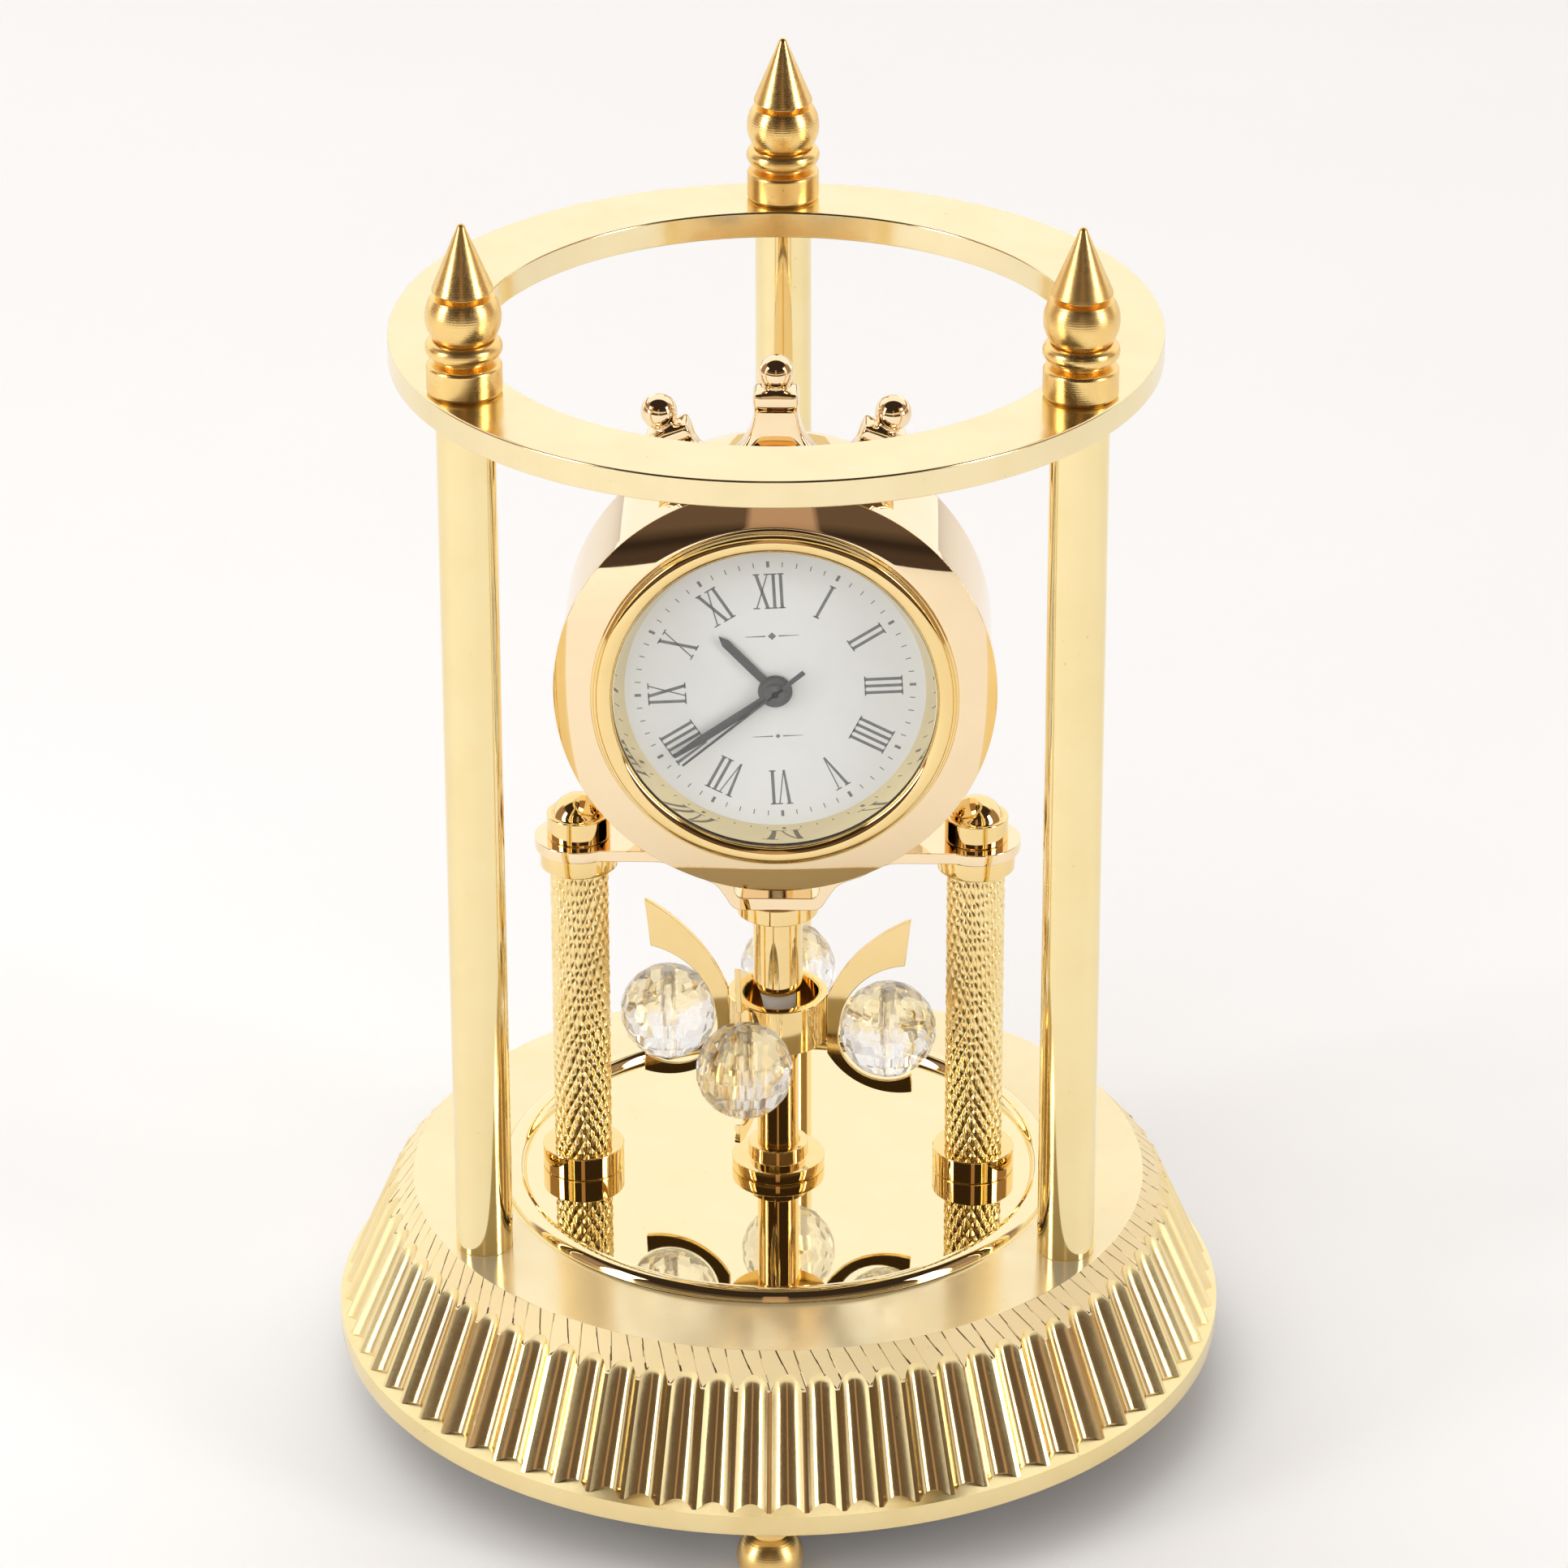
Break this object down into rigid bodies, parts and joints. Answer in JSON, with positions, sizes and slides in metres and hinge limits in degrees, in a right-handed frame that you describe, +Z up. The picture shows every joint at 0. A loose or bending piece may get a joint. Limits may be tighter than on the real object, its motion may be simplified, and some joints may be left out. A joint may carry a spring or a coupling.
{
  "type": "anniversary clock",
  "caption": "Miniature gilt anniversary clock: fluted round base, cage of posts under a ring, round crowned head with quartz insert and a turning crystal pendulum.",
  "frame": {"origin": "on the table under the centre of the base, between the ball feet", "axes": "+Z up along the pendulum's centre line, -Y towards the viewer of the dial, +X to the viewer's right"},
  "size_m": [0.0936, 0.0936, 0.1384],
  "materials": {
    "fluted_gold": "pale gold plate, polished",
    "polished_gold": "gold plate, polished",
    "satin_gold": "gold plate, satin, lightly worn",
    "warm_gold": "warm gold plate, polished",
    "knurled_gold": "gold plate over diamond knurl",
    "hardware_steel": "zinc plated",
    "cover_board": "black matte",
    "crystal": "clear cut crystal",
    "lens_glass": "clear mineral glass",
    "dial_white": "white matte, printed numerals",
    "hand_black": "black lacquer",
    "gasket_rubber": "translucent grey",
    "movement_plastic": "light grey moulded",
    "wheel_plastic": "natural acetal",
    "coil_copper": "enamelled copper wire",
    "battery_steel": "bright",
    "nylon_bush": "white nylon"
  },
  "bodies": {
    "clock": {"base_shell": "fluted_gold", "bottom_cover": "cover_board", "foot_front": "polished_gold", "foot_left": "polished_gold", "foot_right": "polished_gold", "post_left": "satin_gold", "post_right": "satin_gold", "post_rear": "satin_gold", "post_screws": "hardware_steel", "top_ring": "satin_gold", "finial_left": "satin_gold", "finial_right": "satin_gold", "finial_rear": "satin_gold", "pillar_left": "knurled_gold", "pillar_right": "knurled_gold", "lower_collars": "polished_gold", "upper_collars": "polished_gold", "tie_rods": "hardware_steel", "cap_nuts": "polished_gold", "pillar_nuts": "hardware_steel", "bracket": "warm_gold", "column_flange": "polished_gold", "lower_tube": "polished_gold", "spindle": "hardware_steel", "upper_tube": "polished_gold", "column_collar": "polished_gold", "spindle_nut": "hardware_steel", "head_drum": "warm_gold", "head_bezel": "warm_gold", "crown_crest": "warm_gold"},
    "pendulum": {"pendulum_hub": "polished_gold", "pendulum_bush": "nylon_bush", "crescent_front": "polished_gold", "crescent_right": "polished_gold", "crescent_rear": "polished_gold", "crescent_left": "polished_gold", "crystal_front": "crystal", "crystal_right": "crystal", "crystal_rear": "crystal", "crystal_left": "crystal"},
    "insert": {"insert_case": "battery_steel", "insert_bezel": "warm_gold", "insert_gasket": "gasket_rubber", "lens": "lens_glass", "rehaut_ring": "polished_gold", "dial": "dial_white", "movement_block": "movement_plastic", "coil": "coil_copper", "battery": "battery_steel"},
    "hour": {"hour_hand": "hand_black", "hour_wheel": "wheel_plastic"},
    "minute": {"minute_hand": "hand_black", "minute_arbor": "wheel_plastic"},
    "second": {"second_hand": "hand_black", "second_arbor": "wheel_plastic"},
    "setting": {"setting_knob": "wheel_plastic"},
    "intermediate": {"intermediate_wheel": "wheel_plastic"},
    "rotor": {"rotor": "hardware_steel"}
  },
  "joints": [
    {"name": "pendulum_spin", "type": "hinge", "parent": "clock", "child": "pendulum", "pos_m": [0, 0, 0.0404], "axis": [0, 0, 1], "continuous": true},
    {"name": "insert_slide", "type": "slide", "parent": "clock", "child": "insert", "axis": [0, -1, 0], "range_m": [0, 0.02]},
    {"name": "minute_turn", "type": "hinge", "parent": "insert", "child": "minute", "pos_m": [0, -0.009, 0.08435], "axis": [0, 1, 0], "continuous": true},
    {"name": "hour_turn", "type": "hinge", "parent": "insert", "child": "hour", "pos_m": [0, -0.009, 0.08435], "axis": [0, 1, 0], "continuous": true},
    {"name": "setting_turn", "type": "hinge", "parent": "insert", "child": "setting", "pos_m": [0, -0.0015, 0.07835], "axis": [0, 1, 0], "continuous": true},
    {"name": "second_turn", "type": "hinge", "parent": "insert", "child": "second", "pos_m": [0, -0.009, 0.08435], "axis": [0, 1, 0], "continuous": true},
    {"name": "intermediate_spin", "type": "hinge", "parent": "insert", "child": "intermediate", "pos_m": [0.00195, -0.004, 0.08773], "axis": [0, 1, 0], "continuous": true},
    {"name": "rotor_spin", "type": "hinge", "parent": "insert", "child": "rotor", "pos_m": [0.00363, -0.003, 0.09063], "axis": [0, 1, 0], "continuous": true}
  ],
  "couplings": [
    {"joint": "hour_turn", "follows": "minute_turn", "ratio": 0.083333},
    {"joint": "setting_turn", "follows": "minute_turn", "ratio": -0.33333},
    {"joint": "intermediate_spin", "follows": "second_turn", "ratio": -6},
    {"joint": "rotor_spin", "follows": "second_turn", "ratio": 30}
  ]
}
